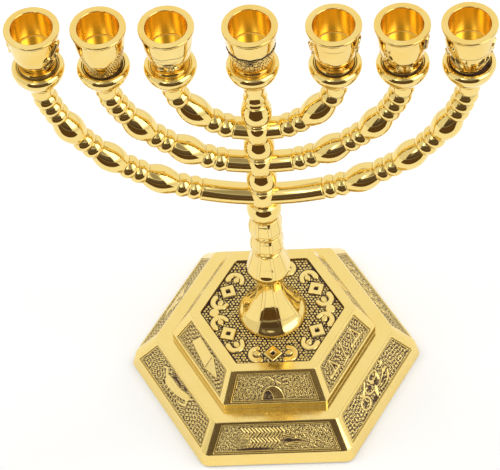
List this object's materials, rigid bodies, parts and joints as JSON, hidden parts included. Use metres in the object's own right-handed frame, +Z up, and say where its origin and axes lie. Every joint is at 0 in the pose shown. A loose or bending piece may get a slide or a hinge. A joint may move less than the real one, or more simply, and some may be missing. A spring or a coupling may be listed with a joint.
{
  "type": "seven-branch menorah",
  "caption": "Brass branched candelabrum with beaded, upcurving arms, round drip pans and candle cups, on a stepped hexagonal base with sunk relief panels.",
  "frame": {"origin": "middle of the base's underside, on the table", "axes": "+Z up along the shaft; X along the row of branches; -Y is the front that faces the viewer"},
  "size_m": [0.128, 0.0776, 0.1536],
  "materials": {
    "polished_brass": "polished",
    "cup_brass": "polished, orange-gold lacquer inside",
    "base_brass": "polished edges, dark patina in the sunk panels",
    "fixings": "zinc plated",
    "felt": "felt"
  },
  "bodies": {
    "root": {"felt_pad": "felt", "base_shell": "base_brass", "base_washer": "fixings", "base_nut": "fixings", "tie_rod": "fixings", "fluted_foot": "polished_brass", "flared_collar": "polished_brass", "faceted_bead_lower": "polished_brass", "faceted_bead_upper": "polished_brass", "large_bead": "polished_brass", "lower_arms": "polished_brass", "middle_arms": "polished_brass", "upper_arms": "polished_brass", "ball_lower": "polished_brass", "ball_middle": "polished_brass", "ball_upper": "polished_brass", "shaft_top": "polished_brass", "drip_pan_1": "polished_brass", "drip_pan_2": "polished_brass", "drip_pan_3": "polished_brass", "drip_pan_4": "polished_brass", "drip_pan_5": "polished_brass", "drip_pan_6": "polished_brass", "drip_pan_7": "polished_brass", "candle_cup_1": "cup_brass", "candle_cup_2": "cup_brass", "candle_cup_3": "cup_brass", "candle_cup_4": "cup_brass", "candle_cup_5": "cup_brass", "candle_cup_6": "cup_brass", "candle_cup_7": "cup_brass"}
  },
  "joints": []
}
